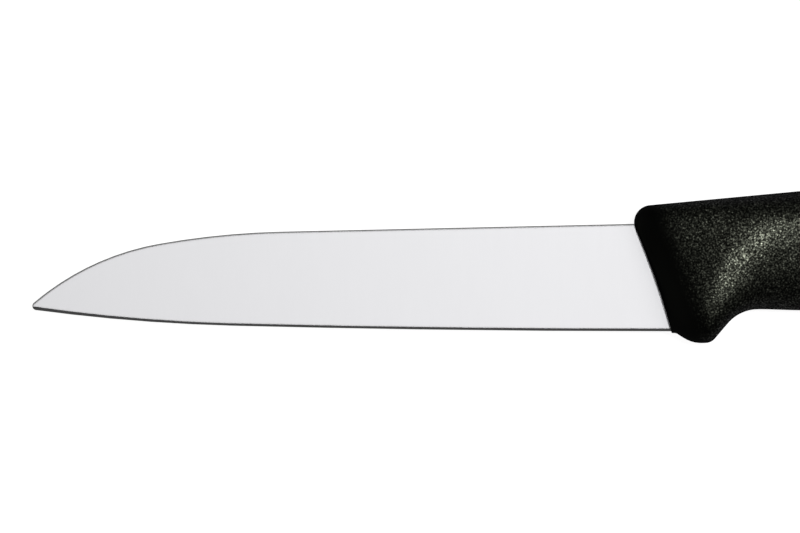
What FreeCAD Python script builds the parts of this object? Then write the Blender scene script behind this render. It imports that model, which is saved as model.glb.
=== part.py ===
"""Paring knife with a moulded handle.

Two pieces: a stamped, flat-ground steel blade with a hidden tang, and a plastic
handle that is moulded over the tang and fills its lock holes.

The knife is drawn about its heel, where the cutting edge meets the handle:
X runs from the tip to the butt, Y from the edge to the spine, and Z across the
thickness, with the blade's middle plane at zero. It is then laid on its side,
with the origin at the middle of its box, on the surface that it lies on.
"""
import FreeCAD
import Part
import math
import os

from FreeCAD import Vector

# Blade outline, in millimetres and degrees
BLADE_LENGTH = 101.1           # heel to the theoretical sharp point
POINT_RISE = 3.51              # sharp point above the heel
HEEL_HEIGHT = 16.94            # spine above the heel
SPINE_ANGLE = 1.27             # fall of the straight spine towards the tip
SPINE_STRAIGHT = 61.3          # heel to the start of the spine's drop
SPINE_JOINT_SHARES = (0.483, 0.159)    # the drop's two arcs join at this share of its run and of its fall
EDGE_JOINT_SHARES = (0.681, 0.247)     # the edge's two arcs join at this share of its run and of its rise
NOSE_RADIUS = 0.65

# Blade section
STOCK_THICKNESS = 1.3
SPINE_RELIEF = 0.025           # taken off each side by the flat grind at the spine's heel
EDGE_THICKNESS = 0.32          # left by the flat grind, before sharpening
GRIND_RISE = 2.4               # base line of the grind at the point, above the heel
EDGE_FLAT = 0.03               # blunt width of the cutting edge
EDGE_ANGLE = 20.0              # sharpening angle on each side
SPINE_EASING = 0.2             # rounding along the spine
EASING_LIMIT_SHARE = 0.9       # most of the steel at the point that the rounding may take

# Tang, hidden in the handle
HEEL_DEPTH = 3.5               # full-height blade behind the heel
TANG_LAP = 2.5                 # stock-thick tang running forward over the ground root
TANG_COVER = 32.0              # plastic behind the tang's end
TANG_TOP_STEP = 2.0            # shoulder below the spine
TANG_HEIGHT = 10.0
TANG_END_HEIGHT = 7.0
TANG_LIFT = 1.5                # rise of the tang's middle line towards its end
TANG_CORNER_RADIUS = 2.0
LOCK_HOLE_DIAMETER = 5.0
LOCK_HOLE_FIRST = 18.0         # heel to the first hole
LOCK_HOLE_PITCH = 22.0
LOCK_HOLE_MARGIN = 8.0         # least distance from the last hole to the tang's end

# Handle outline
HANDLE_LENGTH = 110.0          # heel to the butt's lower corner
FRONT_SLANT = 19.3             # front face, from upright
FRONT_HOLLOW = 0.34            # depth of the front face's curve from top to bottom
FRONT_COVER = 0.31             # front face ahead of the heel
FRONT_CORNER_RADIUS = 2.7
TOP_RISE = 3.14                # top line above the spine, at the heel
TOP_ANGLE = 5.35
APEX_SHARE = 0.47              # corner of the top's arch, as a share of the handle's length
APEX_RADIUS = 290.0
TAIL_ANGLE = 4.5               # fall of the top line behind the arch
TAIL_CORNER_RADIUS = 8.0
BUTT_SLANT = 6.0
HEEL_LIP = 0.28                # plastic below the cutting edge
LIP_LENGTH = 0.66
LIP_RADIUS = 0.2
GUARD_FRONT_ANGLE = 32.6
GUARD_FRONT_RADIUS = 5.0
GUARD_FLOOR_ANGLE = 1.4        # rise of the guard's underside towards the butt
GUARD_REACH = 5.94             # heel to the guard's rear corner
GUARD_DROP = 1.81              # rear corner below the heel
GUARD_REAR_RADIUS = 1.9
GUARD_REAR_ANGLE = 50.0
GROOVE_RADIUS = 6.4
GROOVE_RISE = 3.78             # belly line above the heel
BELLY_ANGLE = 1.4              # fall of the belly line towards the butt
BELLY_SHARE = 0.53             # lowest place of the belly, as a share of the handle's length
BELLY_RADIUS = 300.0
HOOK_LENGTH = 20.0             # butt's lower corner to the start of its hook
HOOK_DEPTH = 2.6               # lower corner below the start of the hook
HOOK_RISE = 0.6                # lower corner above the heel
HOOK_INSIDE_RADIUS = 40.0
HOOK_RADIUS = 5.0

# Handle section
FRONT_FLAT_WIDTH = 3.8         # front face between its roundings
FRONT_ROUNDING = 0.6           # rounding between the front face and the flanks
BAND_REACH = 6.3               # front face to the end of the steep band behind it
FACET_ANGLE = 9.5              # slope of the thumb facet between the band and the ridge
FACET_POWER = 4                # more keeps the facet flat closer to the ridge
RIDGE_WIDTH = 12.4
RIDGE_SHARES = (0.15, 0.85)    # the ridge climbs from the guard to the neck between these shares of the height
GUARD_RIDGE_REACH = 9.2        # front face to the ridge at the guard
NECK_RIDGE_REACH = 20.0        # the same at the neck
WAIST_WIDTH = 10.7
WAIST_REACH = 34.0             # front face to the waist
PALM_WIDTH = 14.0
PALM_SHARE = 0.6               # widest place of the palm, as a share of the handle's length
TAIL_WIDTH = 12.6
BUTT_FLAT_WIDTH = 4.2          # butt face between its roundings
GUARD_CROWN_SHARE = 0.47       # widest place of a section above its bottom, at the guard
NECK_CROWN_SHARE = 0.65        # the same at the neck
PALM_CROWN_SHARE = 0.52
GUARD_FULLNESS = 0.42          # 0 makes a section an ellipse, more makes it squarer
NECK_FULLNESS = 0.12

# Fineness of the handle's skin
SECTION_POINTS = 12
SECTION_OVERLAP = 3            # points past the parting line that keep the halves smooth across it
RIM_STATIONS = 8
LINE_STATIONS = 6
ARC_STATIONS = 5
LEG_ROOM_SHARE = 0.95          # most of a straight that the roundings at its ends may take

OVERRUN = 1.0                  # cutters run past the material by this

HEEL = Vector(0, 0, 0)
ACROSS = Vector(0, 0, 1)


def heading(degrees):
    """Direction in the middle plane, turned from the way to the butt."""
    angle = math.radians(degrees)
    return Vector(math.cos(angle), math.sin(angle), 0)


def meet(a, a_way, b, b_way):
    """Where two lines in the middle plane cross."""
    return a + a_way * ((b - a).cross(b_way).z / a_way.cross(b_way).z)


def tangent_arc(start, way, end):
    """Arc that leaves start along way and reaches end: its curve, its centre, and its way at the end."""
    chord = end - start
    side = Vector(-way.y, way.x, 0)
    radius = chord.Length ** 2 / (2 * chord.dot(side))
    centre = start + side * radius
    middle = centre + (start - centre + end - centre).normalize() * abs(radius)
    ray = (end - centre) / radius
    return Part.Arc(start, middle, end), centre, Vector(-ray.y, ray.x, 0)


def rounded_path(corners):
    """Lines through corners of (point, radius), with arcs at the inner ones as large as there is room for."""
    points = [point for point, _ in corners]
    legs = [(after - before).Length for before, after in zip(points, points[1:])]
    halves = [math.pi / 2]
    for before, point, after in zip(points, points[1:], points[2:]):
        halves.append((before - point).getAngle(after - point) / 2)
    halves.append(math.pi / 2)
    taken = [radius / math.tan(half) for (_, radius), half in zip(corners, halves)]
    room = [min(1, LEG_ROOM_SHARE * leg / (a + b)) for leg, a, b in zip(legs, taken, taken[1:])]
    edges = []
    last = points[0]
    for n in range(1, len(points) - 1):
        back = (points[n - 1] - points[n]).normalize()
        onward = (points[n + 1] - points[n]).normalize()
        reach = taken[n] * min(room[n - 1], room[n])
        radius = reach * math.tan(halves[n])
        start = points[n] + back * reach
        end = points[n] + onward * reach
        middle = points[n] + (back + onward).normalize() * (radius / math.sin(halves[n]) - radius)
        edges.append(Part.LineSegment(last, start).toShape())
        edges.append(Part.Arc(start, middle, end).toShape())
        last = end
    edges.append(Part.LineSegment(last, points[-1]).toShape())
    return edges


def slab(edges, thickness):
    """Plate of a closed outline, centred on the middle plane."""
    face = Part.Face(Part.Wire(edges))
    face.translate(ACROSS * (-thickness / 2))
    return face.extrude(ACROSS * thickness)


def mirrored(shape):
    return shape.mirror(HEEL, ACROSS)


def ground(x, y):
    """Place on the flat grind of the upper side."""
    base = GRIND_RISE * -x / BLADE_LENGTH
    slope = (STOCK_THICKNESS / 2 - SPINE_RELIEF - EDGE_THICKNESS / 2) / HEEL_HEIGHT
    return Vector(x, y, EDGE_THICKNESS / 2 + slope * (y - base))


def grinding_waste():
    """Steel that the flat grind takes off the upper side."""
    left = -BLADE_LENGTH - OVERRUN
    right = HEEL_DEPTH + OVERRUN
    top = HEEL_HEIGHT + OVERRUN
    corners = [ground(left, -OVERRUN), ground(right, -OVERRUN), ground(right, top), ground(left, top)]
    return Part.Face(Part.makePolygon(corners + corners[:1])).extrude(ACROSS * STOCK_THICKNESS)


def sharpening_waste(centre, first, last):
    """Steel that sharpening takes off the upper side along an arc of the edge, and a little past its end."""
    radius = (last - centre).Length
    rise = math.tan(math.radians(EDGE_ANGLE))
    ray = (first - centre).normalize()
    outside = centre + ray * (radius + OVERRUN)
    high = ACROSS * STOCK_THICKNESS
    inside = centre + ray * (radius - (STOCK_THICKNESS - EDGE_FLAT / 2) / rise)
    corners = [inside + high, outside + high, outside + ACROSS * (EDGE_FLAT / 2 - OVERRUN * rise)]
    face = Part.Face(Part.makePolygon(corners + corners[:1]))
    turn = (first - centre).getAngle(last - centre) + OVERRUN / radius
    return face.revolve(centre, -ACROSS, math.degrees(turn))


def nose_waste(point, spine_centre, edge_centre):
    """Steel ahead of the rounded nose, whose circle touches the spine's and the edge's last arcs."""
    spine_radius = (point - spine_centre).Length
    edge_radius = (point - edge_centre).Length
    to_spine = spine_radius - NOSE_RADIUS
    to_edge = edge_radius - NOSE_RADIUS
    apart = (edge_centre - spine_centre).Length
    way = (edge_centre - spine_centre).normalize()
    along = (to_spine ** 2 - to_edge ** 2 + apart ** 2) / (2 * apart)
    aside = Vector(-way.y, way.x, 0) * math.sqrt(to_spine ** 2 - along ** 2)
    foot = spine_centre + way * along
    nose = min(foot + aside, foot - aside, key=lambda place: (place - point).Length)
    spine_way = (nose - spine_centre).normalize()
    edge_way = (nose - edge_centre).normalize()
    tip_way = (point - nose).normalize()
    spine_touch = nose + spine_way * NOSE_RADIUS
    edge_touch = nose + edge_way * NOSE_RADIUS
    outside = [edge_touch, edge_touch + edge_way * OVERRUN, point + tip_way * OVERRUN,
               spine_touch + spine_way * OVERRUN, spine_touch]
    arc = Part.Arc(spine_touch, nose + tip_way * NOSE_RADIUS, edge_touch).toShape()
    lines = [Part.LineSegment(a, b).toShape() for a, b in zip(outside, outside[1:])]
    return slab([arc] + lines, STOCK_THICKNESS + OVERRUN)


def blade_plate():
    """The ground, eased and sharpened blade without its tang."""
    point = Vector(-BLADE_LENGTH, POINT_RISE, 0)
    spine_way = heading(180 + SPINE_ANGLE)
    spine_heel = Vector(0, HEEL_HEIGHT, 0)
    spine_root = spine_heel + spine_way * (HEEL_DEPTH / spine_way.x)
    spine_start = spine_heel - spine_way * (SPINE_STRAIGHT / spine_way.x)
    fall = point - spine_start
    spine_joint = spine_start + Vector(fall.x * SPINE_JOINT_SHARES[0], fall.y * SPINE_JOINT_SHARES[1], 0)
    edge_joint = Vector(point.x * EDGE_JOINT_SHARES[0], point.y * EDGE_JOINT_SHARES[1], 0)
    edge_root = Vector(HEEL_DEPTH, 0, 0)
    spine_arc, _, way = tangent_arc(spine_start, spine_way, spine_joint)
    drop_arc, drop_centre, _ = tangent_arc(spine_joint, way, point)
    edge_arc, edge_centre, way = tangent_arc(HEEL, heading(180), edge_joint)
    belly_arc, belly_centre, _ = tangent_arc(edge_joint, way, point)
    outline = [Part.LineSegment(edge_root, spine_root), Part.LineSegment(spine_root, spine_start), spine_arc,
               drop_arc, belly_arc, edge_arc, Part.LineSegment(HEEL, edge_root)]
    plate = slab([curve.toShape() for curve in outline], STOCK_THICKNESS)

    waste = grinding_waste()
    plate = plate.cut([waste, mirrored(waste)])

    easing = min(SPINE_EASING, EASING_LIMIT_SHARE * ground(point.x, point.y).z)
    root_middle = (edge_root + spine_root) / 2
    spine_edges = []
    for edge in plate.Edges:
        middle = edge.CenterOfMass
        above = (middle - point).cross(root_middle - point).z < 0
        if above and abs(middle.z) > EDGE_FLAT and middle.x < HEEL_DEPTH - EDGE_FLAT:
            spine_edges.append(edge)
    plate = plate.makeFillet(easing, spine_edges)

    wastes = [sharpening_waste(edge_centre, edge_root, edge_joint),
              sharpening_waste(belly_centre, edge_joint, point)]
    plate = plate.cut(wastes + [mirrored(waste) for waste in wastes])
    return plate.cut(nose_waste(point, drop_centre, belly_centre))


def tang():
    """The stamped tongue with its lock holes."""
    front = HEEL_DEPTH - TANG_LAP
    end = HANDLE_LENGTH - TANG_COVER
    middle = HEEL_HEIGHT - TANG_TOP_STEP - TANG_HEIGHT / 2
    root_top = Vector(front, middle + TANG_HEIGHT / 2, 0)
    root_bottom = Vector(front, middle - TANG_HEIGHT / 2, 0)
    end_top = Vector(end, middle + TANG_LIFT + TANG_END_HEIGHT / 2, 0)
    end_bottom = Vector(end, middle + TANG_LIFT - TANG_END_HEIGHT / 2, 0)
    outline = rounded_path([(root_bottom, 0), (end_bottom, TANG_CORNER_RADIUS), (end_top, TANG_CORNER_RADIUS),
                            (root_top, 0)])
    outline.append(Part.LineSegment(root_top, root_bottom).toShape())
    plate = slab(outline, STOCK_THICKNESS)
    count = 1 + int((end - LOCK_HOLE_MARGIN - LOCK_HOLE_FIRST) / LOCK_HOLE_PITCH)
    holes = []
    for n in range(count):
        x = LOCK_HOLE_FIRST + n * LOCK_HOLE_PITCH
        y = middle + TANG_LIFT * (x - front) / (end - front)
        below = Vector(x, y, -STOCK_THICKNESS / 2 - OVERRUN)
        holes.append(Part.makeCylinder(LOCK_HOLE_DIAMETER / 2, STOCK_THICKNESS + 2 * OVERRUN, below))
    return plate.cut(holes)


def handle_paths():
    """Bottom and top outlines of the handle, each from the front to the butt."""
    front = heading(90 + FRONT_SLANT)
    foot = Vector(-FRONT_COVER, 0, 0)
    lip = foot - front * (HEEL_LIP / front.y)
    ledge = lip + Vector(LIP_LENGTH, 0, 0)
    guard_rear = Vector(GUARD_REACH, -GUARD_DROP, 0)
    guard_front = meet(ledge, heading(-GUARD_FRONT_ANGLE), guard_rear, heading(GUARD_FLOOR_ANGLE))
    belly_start = Vector(0, GROOVE_RISE, 0)
    groove = meet(guard_rear, heading(GUARD_REAR_ANGLE), belly_start, heading(-BELLY_ANGLE))
    belly = belly_start + heading(-BELLY_ANGLE) * (BELLY_SHARE * HANDLE_LENGTH)
    hook = Vector(HANDLE_LENGTH, HOOK_RISE, 0)
    hook_inside = hook + Vector(-HOOK_LENGTH, HOOK_DEPTH, 0)
    top_start = Vector(0, HEEL_HEIGHT + TOP_RISE, 0)
    front_top = meet(foot, front, top_start, heading(TOP_ANGLE))
    apex = top_start + heading(TOP_ANGLE) * (APEX_SHARE * HANDLE_LENGTH)
    tail = meet(apex, heading(-TAIL_ANGLE), hook, heading(90 + BUTT_SLANT))
    bottom = rounded_path([(lip, 0), (ledge, LIP_RADIUS), (guard_front, GUARD_FRONT_RADIUS),
                           (guard_rear, GUARD_REAR_RADIUS), (groove, GROOVE_RADIUS), (belly, BELLY_RADIUS),
                           (hook_inside, HOOK_INSIDE_RADIUS), (hook, HOOK_RADIUS), (tail, 0)])
    top = rounded_path([(foot, 0), (front_top, FRONT_CORNER_RADIUS), (apex, APEX_RADIUS),
                        (tail, TAIL_CORNER_RADIUS), (hook, 0)])
    return bottom, top


def point_along(edges, share):
    """Point at a share of the length of a chain of edges."""
    left = share * sum(edge.Length for edge in edges)
    for edge in edges[:-1]:
        if left <= edge.Length:
            return edge.valueAt(edge.getParameterByLength(left))
        left -= edge.Length
    return edges[-1].valueAt(edges[-1].getParameterByLength(min(left, edges[-1].Length)))


def station_shares(edges):
    """Shares of a chain's length that divide its arcs evenly and its lines more closely at their ends."""
    total = sum(edge.Length for edge in edges)
    shares = []
    before = 0
    for edge in edges:
        if isinstance(edge.Curve, Part.Circle):
            parts = [(n + 1) / ARC_STATIONS for n in range(ARC_STATIONS)]
        else:
            parts = [(1 - math.cos(math.pi * (n + 1) / LINE_STATIONS)) / 2 for n in range(LINE_STATIONS)]
        shares += [(before + edge.Length * part) / total for part in parts]
        before += edge.Length
    return shares


def flow(places, x):
    """Value at x that flows smoothly through places of (x, value) and stays level past the last."""
    for (start, value), (end, next_value) in zip(places, places[1:]):
        if x <= end:
            share = max(0, (x - start) / (end - start))
            return value + (next_value - value) * (1 - math.cos(math.pi * share)) / 2
    return places[-1][1]


def flank_rise(behind, ridge):
    """Width gained on one side from the front face to the ridge: a rounding, a steep band, a flat facet."""
    slope = math.tan(math.radians(FACET_ANGLE))
    whole = FACET_POWER / (FACET_POWER + 1)
    along = behind / ridge
    facet = slope * ridge * (along - along ** (FACET_POWER + 1) * (1 - whole))
    band = (RIDGE_WIDTH - FRONT_FLAT_WIDTH) / 2 - FRONT_ROUNDING - slope * ridge * whole
    band_left = 1 - min(1, behind / BAND_REACH)
    rounding_left = 1 - min(1, behind / FRONT_ROUNDING)
    return FRONT_ROUNDING * math.sqrt(1 - rounding_left ** 2) + band * (1 - band_left ** 2) + facet


def grip_width(behind, height):
    """Width at a distance behind the front face and a share of the height: flank, waist, palm and tail."""
    ridge = flow([(RIDGE_SHARES[0], GUARD_RIDGE_REACH), (RIDGE_SHARES[1], NECK_RIDGE_REACH)], height)
    if behind < ridge:
        return FRONT_FLAT_WIDTH + 2 * flank_rise(max(0, behind), ridge)
    return flow([(ridge, RIDGE_WIDTH), (WAIST_REACH, WAIST_WIDTH), (PALM_SHARE * HANDLE_LENGTH, PALM_WIDTH),
                 (HANDLE_LENGTH, TAIL_WIDTH)], behind)


def crown_share(behind):
    """Height of the widest place of a section, low at the guard, high at the neck and even in the palm."""
    return flow([(GUARD_RIDGE_REACH, GUARD_CROWN_SHARE), (NECK_RIDGE_REACH, NECK_CROWN_SHARE),
                 (PALM_SHARE * HANDLE_LENGTH, PALM_CROWN_SHARE)], behind)


def fullness(behind):
    """Squareness of a section, with flat flanks at the guard and round ones from the neck on."""
    return flow([(GUARD_RIDGE_REACH, GUARD_FULLNESS), (NECK_RIDGE_REACH, NECK_FULLNESS)], behind)


def handle_stations():
    """Bottom and top point, distance behind the front face, narrowing and hollow of each section."""
    bottom, top = handle_paths()
    front_bottom, grip_bottom, butt_bottom = bottom[:4], bottom[4:-2], bottom[-2:-1]
    front_top, grip_top, butt_top = top[1:2], top[2:-2], top[-2:-1]
    rim_angles = [math.pi / 2 * n / RIM_STATIONS for n in range(RIM_STATIONS + 1)]
    places = []
    for angle in rim_angles:
        share = 1 - math.cos(angle)
        hollow = FRONT_HOLLOW * (1 - share)
        places.append((point_along(front_bottom, share), point_along(front_top, share), hollow))
    for share in station_shares(grip_bottom):
        places.append((point_along(grip_bottom, share), point_along(grip_top, share), 0))
    start = (places[0][0] + places[0][1]) / 2
    stations = []
    for low, high, hollow in places:
        behind = ((low + high) / 2 - start).dot(heading(FRONT_SLANT))
        stations.append((low, high, behind, 1, hollow))
    last = BUTT_FLAT_WIDTH / TAIL_WIDTH
    for angle in rim_angles[1:]:
        low, high = point_along(butt_bottom, math.sin(angle)), point_along(butt_top, math.sin(angle))
        stations.append((low, high, HANDLE_LENGTH, last + (1 - last) * math.cos(angle), 0))
    return stations


def section(low, high, behind, narrowing, hollow):
    """Points of one half of a section, from before its bottom to past its top, bowed by the hollow."""
    span = high - low
    back = Vector(span.y, -span.x, 0).normalize()
    crown = crown_share(behind)
    full = fullness(behind)
    points = []
    for n in range(-SECTION_OVERLAP, SECTION_POINTS + SECTION_OVERLAP + 1):
        angle = math.pi * (n / SECTION_POINTS - 1 / 2)
        up = math.sin(angle) * (1 + full * math.cos(angle) ** 2)
        out = math.cos(angle) * (1 + full * math.sin(angle) ** 2)
        height = (1 + up) / 2 + (crown - 1 / 2) * (1 - up ** 2)
        half_width = narrowing * grip_width(behind, height) / 2
        points.append(low + span * height + ACROSS * (out * half_width) + back * (hollow * (1 - up ** 2)))
    return points


def through(points, places):
    """Smooth curve through points at given places along it."""
    curve = Part.BSplineCurve()
    curve.interpolate(Points=points, Parameters=places)
    return curve


def skin(sections):
    """Smooth surface through sections, from the bottom outline to the top, and its first and last curves."""
    turns = list(range(-SECTION_OVERLAP, SECTION_POINTS + SECTION_OVERLAP + 1))
    around = [through(row, turns) for row in sections]
    for curve in around:
        curve.segment(0, SECTION_POINTS)
    places = [0]
    for row, after in zip(sections, sections[1:]):
        places.append(places[-1] + sum((b - a).Length for a, b in zip(row, after)) / len(row))
    along = [through(list(poles), places) for poles in zip(*[curve.getPoles() for curve in around])]
    surface = Part.BSplineSurface()
    surface.buildFromPolesMultsKnots([curve.getPoles() for curve in along],
                                     around[0].getMultiplicities(), along[0].getMultiplicities(),
                                     around[0].getKnots(), along[0].getKnots(), False, False,
                                     around[0].Degree, along[0].Degree)
    return surface.toShape(), around[0].toShape(), around[-1].toShape()


def handle_body():
    """The handle's outer form: two mirrored halves that meet at the parting line, and its two end faces."""
    half, front, butt = skin([section(*station) for station in handle_stations()])
    ends = [Part.makeRuledSurface(curve, mirrored(curve)) for curve in (front, butt)]
    shell = Part.makeShell([half, mirrored(half)] + ends)
    shell.sewShape()
    return Part.makeSolid(shell)


def knife():
    """The two pieces, about the heel. The blade's flats are split where they enter the handle."""
    body = handle_body()
    plate = blade_plate()
    blade = plate.cut(body).fuse([plate.common(body), tang()])
    return {"blade": blade.Solids[0], "handle": body.cut(blade).Solids[0]}


pieces = knife()
box = Part.makeCompound(list(pieces.values())).optimalBoundingBox(False, False)
home = Vector(-box.Center.x, -box.Center.y, -box.ZMin)
os.makedirs("parts", exist_ok=True)
for name, piece in pieces.items():
    piece.translate(home)
    piece.exportStep(os.path.join("parts", name + ".step"))
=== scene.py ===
"""Looks of the paring knife: its finishes, the light, the floor and the camera.

Lengths are in metres and angles in degrees, in the part's own frame: X runs from the tip to
the butt, Y from the edge to the spine, and Z up from the surface that the knife lies on.
"""
import math

import bpy
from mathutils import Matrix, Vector

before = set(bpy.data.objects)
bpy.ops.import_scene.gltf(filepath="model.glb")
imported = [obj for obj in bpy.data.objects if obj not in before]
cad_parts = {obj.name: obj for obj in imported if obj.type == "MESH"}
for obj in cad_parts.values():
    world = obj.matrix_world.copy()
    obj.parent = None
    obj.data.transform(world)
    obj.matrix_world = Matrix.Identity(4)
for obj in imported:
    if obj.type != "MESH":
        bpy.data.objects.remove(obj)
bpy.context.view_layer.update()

# Places in the frame
MIDDLE_HEIGHT = 0.0069999          # the blade's middle plane above the floor
HEEL = (-0.0045551, -0.0109935)    # where the cutting edge meets the handle
FRONT_SLANT = 19.3                 # the handle's front, from upright

# Photograph's frame
VIEW_CENTRE = (-0.047296, -0.000859)
VIEW_WIDTH = 0.12516
CAMERA_DISTANCE = 1.2
SENSOR_WIDTH = 36.0                # in millimetres

# Light panels: azimuth, elevation, angles off the middle where each starts and ends fading, radiance
CEILING = (-90.0, 88.3, 5.0, 26.0, 1.0)
NEAR_FILL = (-45.0, 56.0, 4.0, 22.0, 0.3)
FAR_FILL = (90.0, 50.0, 5.0, 24.0, 1.1)
BUTT_FILL = (0.0, 30.0, 10.0, 38.0, 1.0)
TIP_FILL = (180.0, 20.0, 10.0, 38.0, 1.0)

# Room and lamp
ROOM_RADIANCE = 0.06
HORIZON_RADIANCE = 1.0             # of the pale backdrop that runs all round the room
HORIZON_ENDS = (12.0, 34.0)        # elevations where the backdrop starts and ends fading
LAMP_TILT = (6.5, 4.0)             # from overhead, towards the butt and towards the spine
LAMP_DISTANCE = 1.0
LAMP_WIDTH = 0.12
LAMP_POWER = 7.2                   # in watts
WHITE = (1.0, 1.0, 1.0, 1.0)

# Floor
FLOOR_SIZE = 8.0
FLOOR_COLOUR = (0.2, 0.2, 0.2, 1.0)
FLOOR_WHITE = 0.9                  # what the floor adds to that where it is seen or mirrored

# Steel
FLAT_LIMIT = 0.995                 # the upright share of a flat's normal is more than this
BEVEL_LIMIT = 0.85                 # and that of a cutting bevel's normal more than this
FLAT_COLOUR = (0.413, 0.412, 0.421, 1.0)
FLAT_ROUGHNESS = (0.576, 0.584)
# painted shade on the flats beside the handle, where the blade mirrors the handle's dark front
SHADED_FLAT_COLOUR = (0.393, 0.392, 0.4, 1.0)
HANDLE_SHADE_REACH = 0.0032                # how far ahead of the handle's front the painted shade on the flats reaches
BEVEL_COLOUR = (0.36, 0.36, 0.36, 1.0)
BEVEL_ROUGHNESS = (0.26, 0.27)
# the stamped spine's own colour, which is also painted on the flats' edges as shade
SPINE_AND_EDGE_SHADE_COLOUR = (0.15, 0.15, 0.15, 1.0)
SPINE_ROUGHNESS = (0.5, 0.68)
LINE_PITCH = 0.00012               # width of the grinding lines, which run from the spine to the edge
LINE_LENGTH = 0.006
LINE_DEPTH = 0.0000004
LINE_DETAIL = 2.0
EDGE_SHADE_WIDTH = 0.0005                # painted shade: strip along the flats' edges, at the spine's corners and beside the bevels, in the spine's dark colour
EDGE_SHADE_LIMIT = 0.975                 # cosine of the softened normal's lean where the painted shade is darkest
EDGE_SHADE_SAMPLES = 8

# Plastic
PLASTIC_COLOUR = (0.0005, 0.0005, 0.0005, 1.0)
PLASTIC_TINT = (0.94, 1.0, 0.79, 1.0)
PLASTIC_ROUGHNESS = (0.35, 0.43)   # at the front, which the thumb has rubbed, and behind it
RUBBED_ENDS = (0.006, 0.016)       # where the rubbed front starts to fade, and where it ends
PATCH_SIZE = 0.006                 # width of the patches that are a little smoother or rougher
PATCH_ROUGHNESS = 0.015            # most that a patch adds or takes
PATCH_DETAIL = 3.0
GRAIN_SIZE = 0.00029
GRAIN_DEPTH = 0.00002
GRAIN_DETAIL = 0.5
GRAIN_SHINE = 0.109                # mirror strength of a middling grain
GRAIN_CONTRAST = 7.6               # how much the grains' shine differs
GRAZING_POWER = 3.5                # how fast the grain hides the shine as the view gets flatter
SPECK_SPACING = 0.0005             # between the grain's sharpest peaks
SPECK_REACH = 0.3                  # their radius, as a share of the spacing
SPECK_SHINE = 2.6                  # mirror strength of the brightest
SPECK_RARITY = 4.0                 # how few of them come near that
SMOOTH_FRONT = (0.0028, 0.0072)    # behind the front, where the grain starts and where it is full
SMOOTH_AND_SHADED_SHINE = 0.025               # mirror strength on the smooth front band ahead of the grain, kept low as painted shade
SEAM_WIDTH = 0.00012               # the mould's parting line
SEAM_HEIGHT = 0.00003

# Noise
NOISE_MIDDLE = 0.5
NOISE_ENDS = (0.3, 0.7)            # what it mostly keeps between


def node(tree, kind, inputs=None, **settings):
    """New node with its settings and its inputs, each a value or another node's output."""
    made = tree.nodes.new(kind)
    for name, value in settings.items():
        setattr(made, name, value)
    for name, value in (inputs or {}).items():
        if isinstance(value, bpy.types.NodeSocket):
            tree.links.new(value, made.inputs[name])
        else:
            made.inputs[name].default_value = value
    return made


def empty_material(name):
    """New material without nodes, and its node tree."""
    material = bpy.data.materials.new(name)
    material.use_nodes = True
    material.node_tree.nodes.clear()
    return material, material.node_tree


def finish_material(tree, shader):
    """Give a shader node to the material's surface."""
    node(tree, "ShaderNodeOutputMaterial", {"Surface": shader.outputs[0]})


def maths(tree, operation, *values):
    """Outcome of an operation on numbers and other nodes' outputs."""
    return node(tree, "ShaderNodeMath", dict(enumerate(values)), operation=operation).outputs[0]


def along(tree, vector, direction):
    """How far a vector reaches along a direction."""
    both = {0: vector, 1: direction}
    return node(tree, "ShaderNodeVectorMath", both, operation="DOT_PRODUCT").outputs["Value"]


def spread(tree, value, start, end, low, high, **settings):
    """Value that goes from low to high while another goes from start to end."""
    inputs = {"Value": value, "From Min": start, "From Max": end, "To Min": low, "To Max": high}
    return node(tree, "ShaderNodeMapRange", inputs, **settings).outputs["Result"]


def eased(tree, value, start, end, low, high):
    """The same, with a gentle start and end."""
    return spread(tree, value, start, end, low, high, interpolation_type="SMOOTHSTEP")


def mixed(tree, share, first, second):
    """First colour where the share is zero, and second colour where it is one."""
    inputs = {0: share, 6: first, 7: second}    # the node's places for colours
    return node(tree, "ShaderNodeMix", inputs, data_type="RGBA").outputs[2]


def mixed_value(tree, share, first, second):
    """First number where the share is zero, and second number where it is one."""
    inputs = {0: share, 2: first, 3: second}    # the node's places for numbers
    return node(tree, "ShaderNodeMix", inputs, data_type="FLOAT").outputs[0]


def noise(tree, place, size, detail):
    """Cloudy pattern of lumps of about a size."""
    inputs = {"Vector": place, "Scale": 1 / size, "Detail": detail}
    return node(tree, "ShaderNodeTexNoise", inputs).outputs["Fac"]


def raised(tree, height, depth, **base):
    """Normal of a surface on which a pattern stands up by a depth."""
    inputs = {"Height": height, "Distance": depth, **base}
    return node(tree, "ShaderNodeBump", inputs).outputs["Normal"]


def ahead_of_front(tree, place):
    """How far a place is towards the tip from the handle's slanted front."""
    slant = math.radians(FRONT_SLANT)
    ahead = (-math.cos(slant), -math.sin(slant), 0.0)
    return maths(tree, "SUBTRACT", along(tree, place, ahead), Vector(ahead).dot(Vector((*HEEL, 0.0))))


def flat_colour(tree, place):
    """Colour of the flats, with painted shade beside the handle where the blade mirrors its dark
    front.
    """
    past_handle_shade = eased(tree, ahead_of_front(tree, place), 0.0, HANDLE_SHADE_REACH, 0.0, 1.0)
    return mixed(tree, past_handle_shade, SHADED_FLAT_COLOUR, FLAT_COLOUR)


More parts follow.
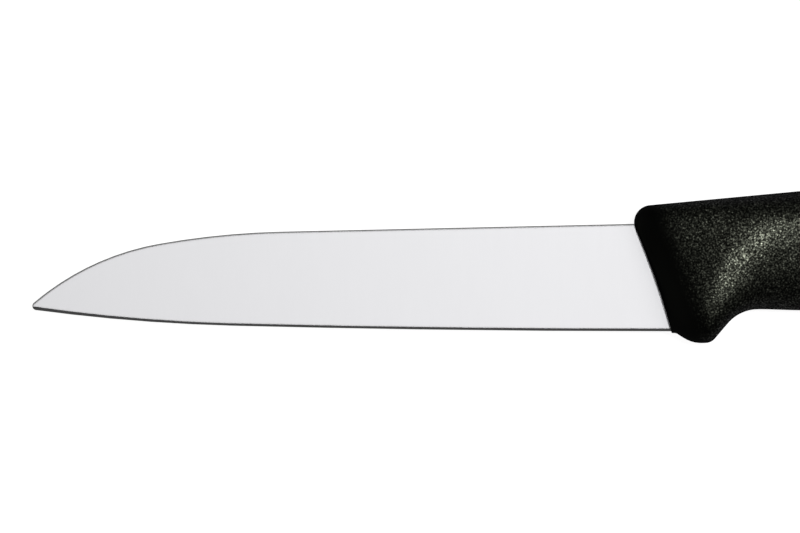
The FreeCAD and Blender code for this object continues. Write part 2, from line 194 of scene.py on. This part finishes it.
def blade_steel():
    """Ground steel: satin flats, honed cutting bevels and a stamped spine, with painted shade on the
    flats beside the handle and along their edges.
    """
    material, tree = empty_material("blade_steel")
    place = node(tree, "ShaderNodeTexCoord").outputs["Object"]
    normal = node(tree, "ShaderNodeNewGeometry").outputs["True Normal"]
    shares = node(tree, "ShaderNodeSeparateXYZ", {0: normal}).outputs
    upright = maths(tree, "ABSOLUTE", shares["Z"])
    on_flat = maths(tree, "GREATER_THAN", upright, FLAT_LIMIT)
    leaning = maths(tree, "GREATER_THAN", upright, BEVEL_LIMIT)
    on_edge = maths(tree, "LESS_THAN", shares["Y"], 0.0)
    on_bevel = maths(tree, "MULTIPLY", leaning, on_edge)

    # painted shade: the flats take the spine's dark colour near every edge
    softened = node(tree, "ShaderNodeBevel", {"Radius": EDGE_SHADE_WIDTH}, samples=EDGE_SHADE_SAMPLES)
    likeness = along(tree, softened.outputs["Normal"], normal)
    outside_edge_shade = spread(tree, likeness, EDGE_SHADE_LIMIT, 1.0, 0.0, 1.0)
    flat = mixed(tree, outside_edge_shade, SPINE_AND_EDGE_SHADE_COLOUR, flat_colour(tree, place))
    other = mixed(tree, on_bevel, SPINE_AND_EDGE_SHADE_COLOUR, BEVEL_COLOUR)
    colour = mixed(tree, on_flat, other, flat)

    scale = (1 / LINE_PITCH, 1 / LINE_LENGTH, 1 / LINE_LENGTH)
    stretched = node(tree, "ShaderNodeMapping", {"Vector": place, "Scale": scale}).outputs[0]
    lines = noise(tree, stretched, 1.0, LINE_DETAIL)
    spine_roughness = spread(tree, lines, *NOISE_ENDS, *SPINE_ROUGHNESS)
    bevel_roughness = spread(tree, lines, *NOISE_ENDS, *BEVEL_ROUGHNESS)
    flat_roughness = spread(tree, lines, *NOISE_ENDS, *FLAT_ROUGHNESS)
    other_roughness = mixed_value(tree, on_bevel, spine_roughness, bevel_roughness)
    roughness = mixed_value(tree, on_flat, other_roughness, flat_roughness)
    looks = {"Base Color": colour, "Metallic": 1.0, "Roughness": roughness,
             "Normal": raised(tree, lines, LINE_DEPTH)}
    finish_material(tree, node(tree, "ShaderNodeBsdfPrincipled", looks))
    return material


def grain_shine(tree, place, grain):
    """Mirror strength of the grain, which grows with its height, and of the few peaks that sparkle."""
    power = maths(tree, "MULTIPLY", maths(tree, "SUBTRACT", grain, NOISE_MIDDLE), GRAIN_CONTRAST)
    even = maths(tree, "MULTIPLY", maths(tree, "EXPONENT", power), GRAIN_SHINE)
    cells = node(tree, "ShaderNodeTexVoronoi", {"Vector": place, "Scale": 1 / SPECK_SPACING}).outputs
    chance = node(tree, "ShaderNodeSeparateColor", {0: cells["Color"]}).outputs["Red"]
    strength = maths(tree, "POWER", chance, SPECK_RARITY)
    dots = spread(tree, cells["Distance"], 0.0, SPECK_REACH, SPECK_SHINE, 0.0)
    return maths(tree, "ADD", even, maths(tree, "MULTIPLY", dots, strength))


def grained_plastic():
    """Black plastic with the mould's spark-eroded grain, whose peaks shine and whose pits do not."""
    material, tree = empty_material("black_plastic")
    place = node(tree, "ShaderNodeTexCoord").outputs["Object"]
    parts = node(tree, "ShaderNodeSeparateXYZ", {0: place}).outputs
    grain = noise(tree, place, GRAIN_SIZE, GRAIN_DETAIL)
    start, end = SMOOTH_FRONT
    grained = eased(tree, ahead_of_front(tree, place), -start, -end, 0.0, 1.0)
    flatness = node(tree, "ShaderNodeLayerWeight").outputs["Facing"]
    sight = maths(tree, "POWER", maths(tree, "SUBTRACT", 1.0, flatness), GRAZING_POWER)
    # the smooth front band is real, and its lower mirror strength is painted shade
    peaks = mixed_value(tree, grained, SMOOTH_AND_SHADED_SHINE, grain_shine(tree, place, grain))
    shine = maths(tree, "MULTIPLY", peaks, sight)

    rubbed = eased(tree, parts["X"], *RUBBED_ENDS, *PLASTIC_ROUGHNESS)
    patches = noise(tree, place, PATCH_SIZE, PATCH_DETAIL)
    uneven = spread(tree, patches, *NOISE_ENDS, -PATCH_ROUGHNESS, PATCH_ROUGHNESS)
    roughness = maths(tree, "ADD", rubbed, uneven)

    aside = maths(tree, "ABSOLUTE", maths(tree, "SUBTRACT", parts["Z"], MIDDLE_HEIGHT))
    seam = eased(tree, aside, 0.0, SEAM_WIDTH / 2, 1.0, 0.0)
    seamed = raised(tree, seam, SEAM_HEIGHT)
    normal = raised(tree, maths(tree, "MULTIPLY", grain, grained), GRAIN_DEPTH, Normal=seamed)
    looks = {"Base Color": PLASTIC_COLOUR, "Roughness": roughness, "Specular IOR Level": shine,
             "Specular Tint": PLASTIC_TINT, "Normal": normal}
    finish_material(tree, node(tree, "ShaderNodeBsdfPrincipled", looks))
    return material


def make_floor():
    """Matt floor that takes the knife's shadow, and is white where it is seen or mirrored."""
    bpy.ops.mesh.primitive_plane_add(size=FLOOR_SIZE)
    floor = bpy.context.object
    floor.name = "floor"
    material, tree = empty_material("floor")
    path = node(tree, "ShaderNodeLightPath").outputs
    mirrored = maths(tree, "MAXIMUM", path["Is Glossy Ray"], path["Is Transmission Ray"])
    seen = maths(tree, "MAXIMUM", path["Is Camera Ray"], mirrored)
    glow = maths(tree, "MULTIPLY", seen, FLOOR_WHITE)
    white = node(tree, "ShaderNodeEmission", {"Color": WHITE, "Strength": glow})
    matt = node(tree, "ShaderNodeBsdfDiffuse", {"Color": FLOOR_COLOUR})
    both = node(tree, "ShaderNodeAddShader", {0: matt.outputs[0], 1: white.outputs[0]})
    finish_material(tree, both)
    floor.data.materials.append(material)


def make_light():
    """Dim room with soft light panels and a pale backdrop all round."""
    world = bpy.data.worlds.new("studio")
    world.use_nodes = True
    tree = world.node_tree
    tree.nodes.clear()
    way = node(tree, "ShaderNodeTexCoord").outputs["Generated"]
    level = ROOM_RADIANCE
    for *angles, radiance in (CEILING, NEAR_FILL, FAR_FILL, BUTT_FILL, TIP_FILL):
        azimuth, elevation, inner, outer = (math.radians(angle) for angle in angles)
        ground = math.cos(elevation)
        middle = (ground * math.cos(azimuth), ground * math.sin(azimuth), math.sin(elevation))
        facing = along(tree, way, middle)
        glow = eased(tree, facing, math.cos(outer), math.cos(inner), 0.0, radiance)
        level = maths(tree, "ADD", glow, level)
    height = node(tree, "ShaderNodeSeparateXYZ", {0: way}).outputs["Z"]
    start, end = (math.sin(math.radians(angle)) for angle in HORIZON_ENDS)
    backdrop = eased(tree, height, start, end, HORIZON_RADIANCE - ROOM_RADIANCE, 0.0)
    level = maths(tree, "ADD", level, backdrop)
    studio = node(tree, "ShaderNodeBackground", {"Color": WHITE, "Strength": level})
    node(tree, "ShaderNodeOutputWorld", {"Surface": studio.outputs[0]})
    bpy.context.scene.world = world


def make_lamp():
    """Round softbox, nearly overhead."""
    data = bpy.data.lights.new("softbox", "AREA")
    data.shape = "DISK"
    data.size = LAMP_WIDTH
    data.energy = LAMP_POWER
    lamp = bpy.data.objects.new("softbox", data)
    way = Vector([math.tan(math.radians(angle)) for angle in LAMP_TILT] + [1.0]).normalized()
    lamp.location = Vector((0.0, 0.0, MIDDLE_HEIGHT)) + way * LAMP_DISTANCE
    lamp.rotation_mode = "QUATERNION"
    lamp.rotation_quaternion = way.to_track_quat("Z", "Y")
    bpy.context.scene.collection.objects.link(lamp)


def make_camera():
    """Camera straight above the blade, framed as the photograph is."""
    lens = bpy.data.cameras.new("camera")
    lens.sensor_width = SENSOR_WIDTH
    lens.lens = SENSOR_WIDTH * CAMERA_DISTANCE / VIEW_WIDTH
    camera = bpy.data.objects.new("camera", lens)
    camera.location = (*VIEW_CENTRE, MIDDLE_HEIGHT + CAMERA_DISTANCE)
    bpy.context.scene.collection.objects.link(camera)
    bpy.context.scene.camera = camera


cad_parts["blade"].material_slots[0].material = blade_steel()
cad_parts["handle"].material_slots[0].material = grained_plastic()
make_floor()
make_light()
make_lamp()
make_camera()
bpy.context.scene.view_settings.view_transform = "Standard"
